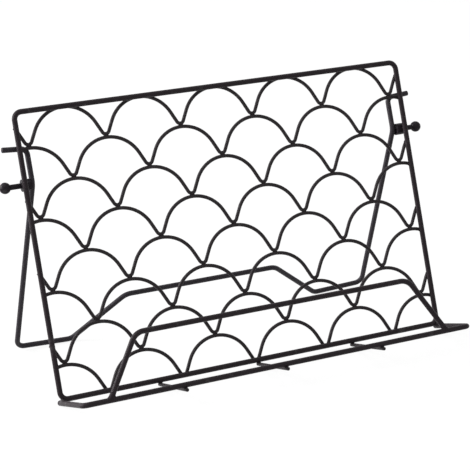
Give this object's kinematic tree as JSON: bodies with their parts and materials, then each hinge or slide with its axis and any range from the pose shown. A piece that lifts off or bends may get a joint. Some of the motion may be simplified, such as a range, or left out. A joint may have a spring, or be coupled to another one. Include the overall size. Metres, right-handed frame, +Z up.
{
  "type": "folding wire magazine stand",
  "caption": "Free-standing wire magazine and book stand: leaning panel of scallop wires, shallow ledge with a page guard, and a hinged rear leg that folds flat.",
  "frame": {"origin": "on the table, under the middle of the open stand's bounding box", "axes": "+X to the right as seen by the reader, +Y to the back where the leg stands, +Z up; the ledge faces -Y"},
  "size_m": [0.3774, 0.1694, 0.2155],
  "materials": {
    "frame_coat": "satin black coat on 4.3 mm steel wire",
    "thin_wire_coat": "satin black coat on thin steel wire",
    "hinge_coat": "satin black coat on turned steel"
  },
  "bodies": {
    "stand": {"back_frame": "frame_coat", "ledge_rail": "frame_coat", "page_guard": "frame_coat", "scallop_wire_1": "thin_wire_coat", "scallop_wire_2": "thin_wire_coat", "scallop_wire_3": "thin_wire_coat", "scallop_wire_4": "thin_wire_coat", "scallop_wire_5": "thin_wire_coat", "scallop_wire_6": "thin_wire_coat", "scallop_wire_7": "thin_wire_coat", "scallop_wire_8": "thin_wire_coat", "ledge_cross_wire_left": "thin_wire_coat", "ledge_cross_wire_centre": "thin_wire_coat", "ledge_cross_wire_right": "thin_wire_coat", "pivot_bush_left": "hinge_coat", "pivot_bush_right": "hinge_coat"},
    "leg": {"rear_leg": "frame_coat", "hinge_pin_left": "hinge_coat", "hinge_pin_right": "hinge_coat", "ball_end_left": "hinge_coat", "ball_end_right": "hinge_coat"}
  },
  "joints": [
    {"name": "leg_fold", "type": "hinge", "parent": "stand", "child": "leg", "pos_m": [0, 0.03377, 0.15867], "axis": [-1, 0, 0], "range_deg": [0, 37.2]}
  ]
}
